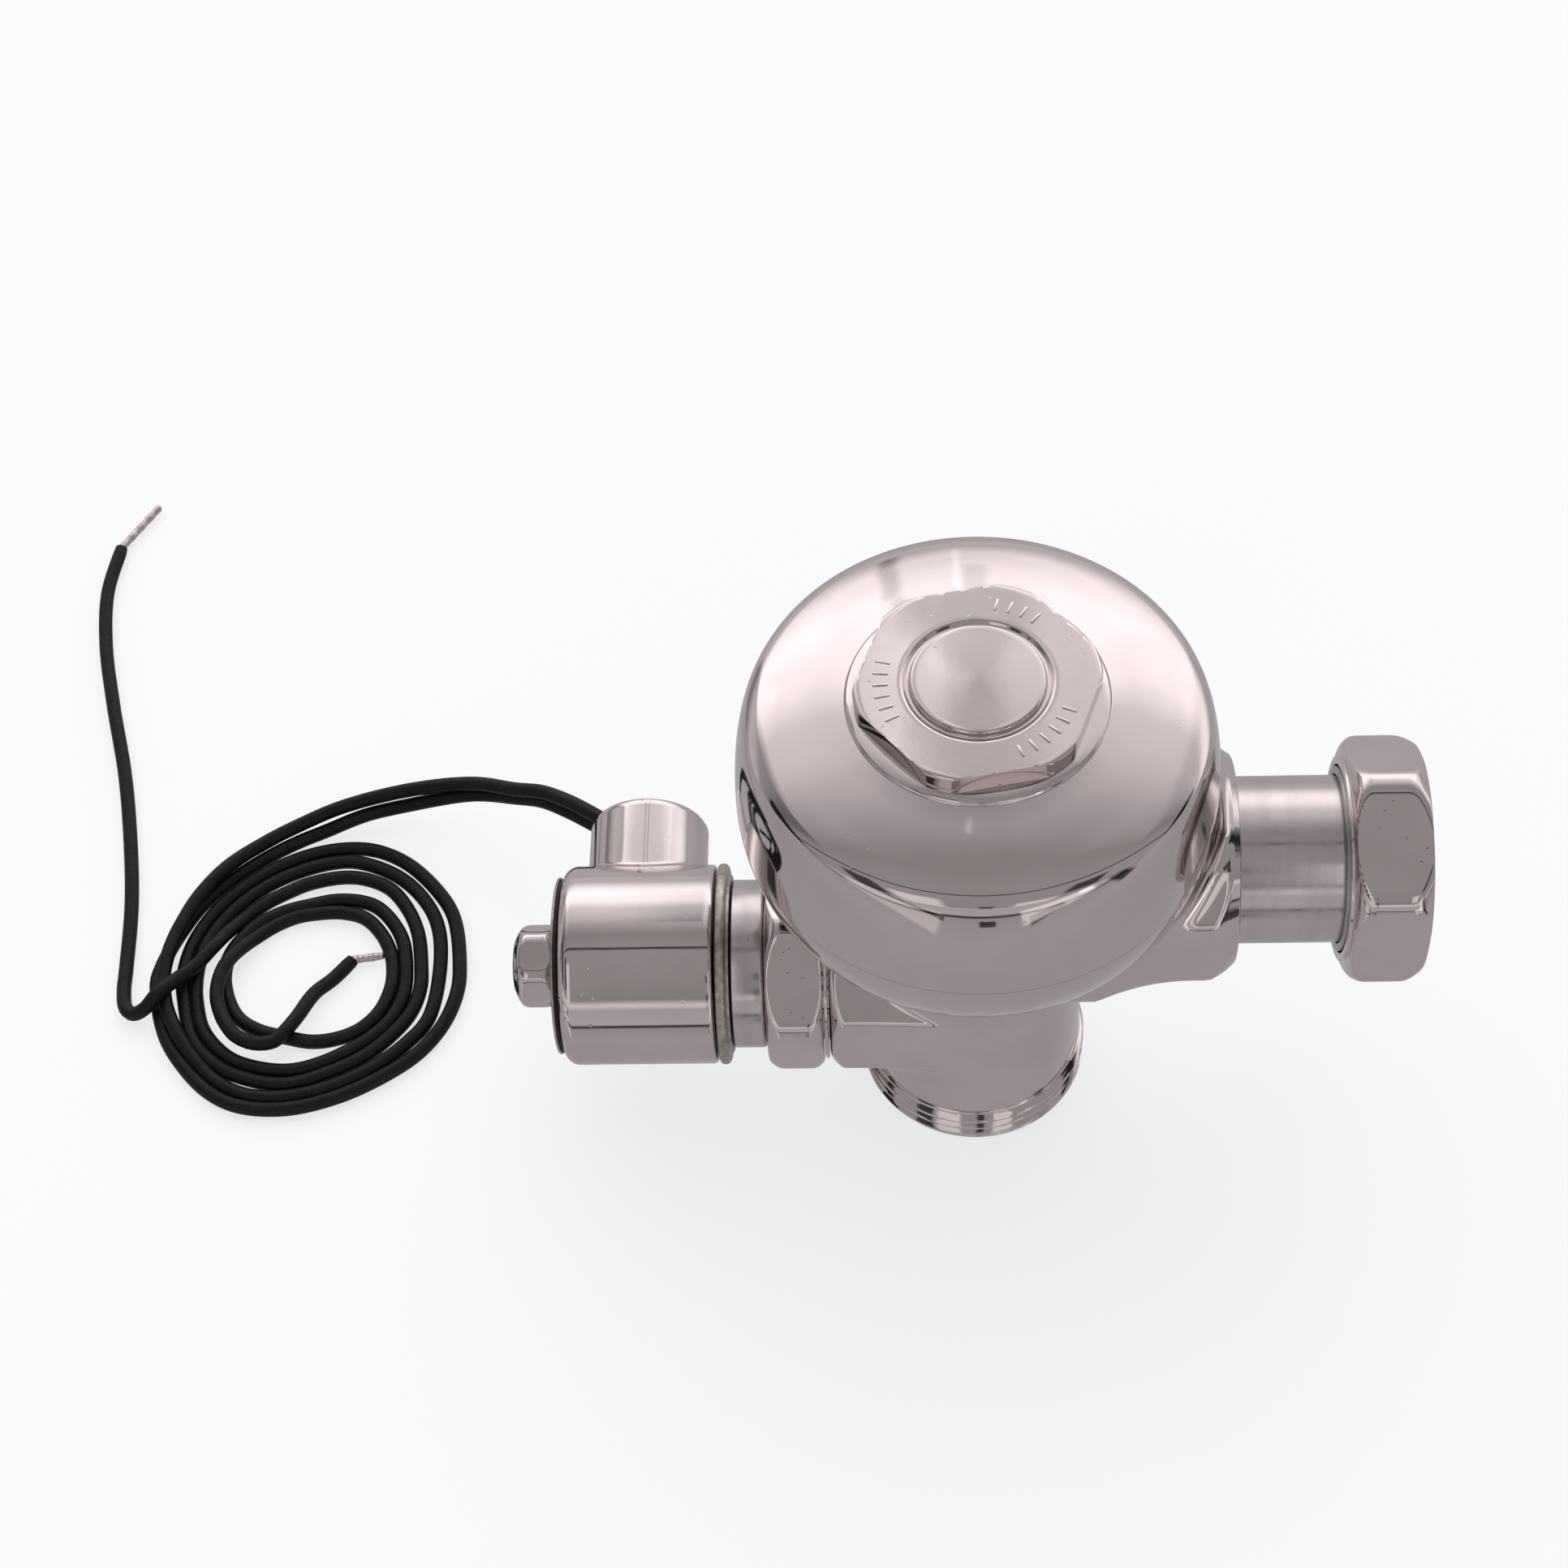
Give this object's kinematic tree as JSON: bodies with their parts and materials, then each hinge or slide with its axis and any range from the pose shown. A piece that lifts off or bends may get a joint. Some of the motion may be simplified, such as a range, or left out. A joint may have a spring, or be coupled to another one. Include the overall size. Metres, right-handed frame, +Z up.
{
  "type": "solenoid flush valve",
  "caption": "Chromed solenoid diaphragm flush valve: domed body, hex-topped cover, side operator coil with two bare leads, inlet tailpiece with coupling nut.",
  "frame": {"origin": "middle of the object without its leads, on the flat end of the outlet", "axes": "+X along the inlet tailpiece, towards the coupling nut; +Y towards the mouth of the lead nozzle; +Z up the valve axis to the cover"},
  "size_m": [0.2554, 0.1768, 0.1132],
  "materials": {
    "chrome": "polished chrome plate",
    "satin_chrome": "turned, chrome plated",
    "raw_zinc": "raw nickel-zinc, satin",
    "brass": "machined",
    "steel": "stainless",
    "copper": "enamelled copper wire",
    "tinned": "tinned strands",
    "black_rubber": "matte",
    "blue_rubber": "moulded",
    "white_plastic": "moulded",
    "black_plastic": "moulded",
    "lead_sleeve": "satin heat-shrink sleeve"
  },
  "bodies": {
    "valve": {"valve_body": "chrome", "main_seat": "brass", "outer_cover": "chrome", "inner_cover": "brass", "cover_gasket": "black_rubber", "tailpiece": "satin_chrome", "locking_ring": "steel", "tail_seal": "black_rubber", "operator_washer": "chrome", "operator_nut": "chrome", "operator_sleeve": "satin_chrome", "base_washer": "raw_zinc", "coil_case": "chrome", "lead_grommet": "black_rubber", "coil_bobbin": "black_plastic", "coil_winding": "copper", "end_gasket": "black_rubber", "end_plate": "raw_zinc", "end_nut": "chrome", "guide_tube": "steel", "fixed_core": "steel", "rod_bush": "brass", "rod_seal": "black_rubber", "lead_a_run": "lead_sleeve", "lead_b_run": "lead_sleeve", "lead_coil": "lead_sleeve", "lead_a_tail": "lead_sleeve", "lead_b_tail": "lead_sleeve", "lead_a_end": "tinned", "lead_b_end": "tinned"},
    "guide": {"diaphragm_guide": "white_plastic", "clamp_disc": "brass", "refill_ring": "black_rubber", "relief_seat": "black_rubber", "diaphragm": "blue_rubber"},
    "relief": {"relief_valve": "black_plastic"},
    "plunger": {"plunger": "steel", "push_rod": "steel", "return_spring": "steel"},
    "slip_ring": {"slip_washer": "steel"},
    "nut": {"coupling_nut": "chrome"}
  },
  "joints": [
    {"name": "plunger_slide", "type": "slide", "parent": "valve", "child": "plunger", "axis": [1, 0, 0], "range_m": [0, 0.004], "stiffness_N_per_m": 150, "springref_m": -0.004, "deforming": ["return_spring"]},
    {"name": "diaphragm_lift", "type": "slide", "parent": "valve", "child": "guide", "axis": [0, 0, 1], "range_m": [0, 0.0045], "deforming": ["diaphragm"]},
    {"name": "relief_tilt", "type": "hinge", "parent": "guide", "child": "relief", "pos_m": [-0.0047, 0, 0.0928], "axis": [0, -1, 0], "range_deg": [0, 3.7]},
    {"name": "nut_slide", "type": "slide", "parent": "valve", "child": "slip_ring", "axis": [-1, 0, 0], "range_m": [0, 0.017]},
    {"name": "nut_spin", "type": "hinge", "parent": "slip_ring", "child": "nut", "pos_m": [0.0719, 0, 0.0611], "axis": [1, 0, 0], "continuous": true}
  ],
  "couplings": [
    {"joint": "relief_tilt", "follows": "plunger_slide", "rad_per_m": 15.94}
  ]
}
